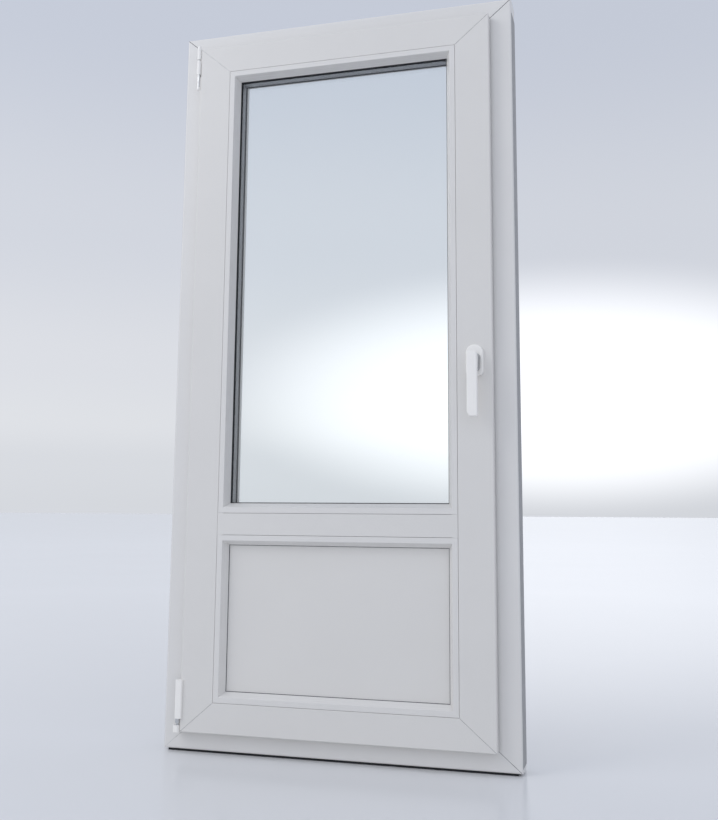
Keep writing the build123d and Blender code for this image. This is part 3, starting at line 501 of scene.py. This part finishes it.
# ---------------------------------------------------------------- stage ----
def floor_material():
    """Pale studio floor: a shade lighter away from the object, faintly mottled."""
    m, nt, p = new_material("floor_pale")
    vec = object_coords(nt)
    length = add(nt, "ShaderNodeVectorMath", operation="LENGTH")
    nt.links.new(vec, length.inputs[0])
    far = span(nt, length.outputs["Value"], 0.0, 1.0, 1.2, 6.0)
    tone = ramp(nt, far, [(0.0, (0.800, 0.802, 0.806)), (1.0, (0.97, 0.972, 0.975))])
    c = noise(nt, vec, 0.8, 3.0)
    soft = add(nt, "ShaderNodeMix", data_type="RGBA", blend_type="MULTIPLY")
    soft.inputs["Factor"].default_value = 1.0
    nt.links.new(tone, soft.inputs["A"])
    nt.links.new(ramp(nt, c, [(0.3, (0.985, 0.985, 0.985)), (0.7, (1.0, 1.0, 1.0))]), soft.inputs["B"])
    nt.links.new(soft.outputs["Result"], p.inputs["Base Color"])
    p.inputs["Roughness"].default_value = 0.19
    p.inputs["Specular IOR Level"].default_value = 0.5
    return m


bpy.ops.mesh.primitive_plane_add(size=400, location=(0, 0, 0))
floor = bpy.context.object
floor.name = "studio_floor"
floor.data.materials.append(floor_material())

world = bpy.data.worlds.new("studio")
scene.world = world
world.use_nodes = True
wn = world.node_tree
tc = wn.nodes.new("ShaderNodeTexCoord")
sep = wn.nodes.new("ShaderNodeSeparateXYZ")
cr = wn.nodes.new("ShaderNodeValToRGB")
wn.links.new(tc.outputs["Generated"], sep.inputs[0])
wn.links.new(sep.outputs["Z"], cr.inputs["Fac"])
cr.color_ramp.interpolation = "EASE"
els = cr.color_ramp.elements
els[0].position, els[0].color = 0.0, (0.70, 0.722, 0.765, 1)
els[1].position, els[1].color = 0.46, (0.585, 0.625, 0.72, 1)
for pos, col in ((0.045, (0.72, 0.742, 0.785)), (0.085, (0.77, 0.79, 0.83)), (0.14, (0.75, 0.77, 0.82)), (0.27, (0.675, 0.705, 0.775))):
    e = els.new(pos)
    e.color = (*col, 1)
# a soft glow low behind the object, wider than it is high
flat = wn.nodes.new("ShaderNodeMapping")
flat.inputs["Scale"].default_value = (1.0, 1.0, 2.9)
unit = wn.nodes.new("ShaderNodeVectorMath")
unit.operation = "NORMALIZE"
dot = wn.nodes.new("ShaderNodeVectorMath")
dot.operation = "DOT_PRODUCT"
dot.inputs[1].default_value = Vector((-0.085, 1.0, 0.112 * 2.9)).normalized()
wn.links.new(tc.outputs["Generated"], flat.inputs["Vector"])
wn.links.new(flat.outputs["Vector"], unit.inputs[0])
wn.links.new(unit.outputs["Vector"], dot.inputs[0])
glow = wn.nodes.new("ShaderNodeMapRange")
glow.interpolation_type = "SMOOTHSTEP"
glow.inputs["From Min"].default_value = 0.944
glow.inputs["From Max"].default_value = 0.998
glow.inputs["To Min"].default_value = 0.0
glow.inputs["To Max"].default_value = 0.50
wn.links.new(dot.outputs["Value"], glow.inputs["Value"])
mixw = wn.nodes.new("ShaderNodeMix")
mixw.data_type = "RGBA"
mixw.blend_type = "ADD"
mixw.inputs["Factor"].default_value = 1.0
wn.links.new(cr.outputs["Color"], mixw.inputs["A"])
wn.links.new(glow.outputs["Result"], mixw.inputs["B"])
# the studio is a little brighter on the room side than behind the object
sidefac = wn.nodes.new("ShaderNodeMapRange")
for key, val in (("From Min", -1.0), ("From Max", 1.0), ("To Min", 1.24), ("To Max", 0.93)):
    sidefac.inputs[key].default_value = val
wn.links.new(sep.outputs["Y"], sidefac.inputs["Value"])
wn.links.new(sidefac.outputs["Result"], wn.nodes["Background"].inputs["Strength"])
wn.links.new(mixw.outputs["Result"], wn.nodes["Background"].inputs["Color"])


def area_light(name, loc, target, size, power, color=(1, 1, 1)):
    d = bpy.data.lights.new(name, "AREA")
    d.shape = "RECTANGLE"
    d.size, d.size_y = size
    d.energy = power
    d.color = color
    o = bpy.data.objects.new(name, d)
    scene.collection.objects.link(o)
    o.location = loc
    o.rotation_euler = (Vector(target) - Vector(loc)).to_track_quat("-Z", "Y").to_euler()
    return o


area_light("key", (-3.4, -2.9, 4.0), (0, 0, 1.0), (2.8, 2.8), 54, (1.0, 0.99, 0.965))

# --------------------------------------------------------------- camera ----
YAW, PITCH, ROLL = -0.27288, 0.1485, 0.00647
F_PX, PX, PY = 992.545, 367.33, 363.73
cam_data = bpy.data.cameras.new("camera")
cam = bpy.data.objects.new("camera", cam_data)
scene.collection.objects.link(cam)
fw = Vector((math.sin(YAW) * math.cos(PITCH), math.cos(YAW) * math.cos(PITCH), math.sin(PITCH)))
rt = Vector((math.cos(YAW), -math.sin(YAW), 0))
up = rt.cross(fw)
r2 = math.cos(ROLL) * rt + math.sin(ROLL) * up
u2 = -math.sin(ROLL) * rt + math.cos(ROLL) * up
rot = Matrix((r2, u2, -fw)).transposed().to_4x4()
cam.matrix_world = Matrix.Translation((0.824435, -2.683418, 0.660045)) @ rot
cam_data.sensor_fit = "AUTO"
cam_data.sensor_width = 36.0
cam_data.lens = F_PX * 36.0 / 820
cam_data.shift_x = (359.0 - PX) / 820
cam_data.shift_y = (PY - 410.0) / 820
scene.camera = cam
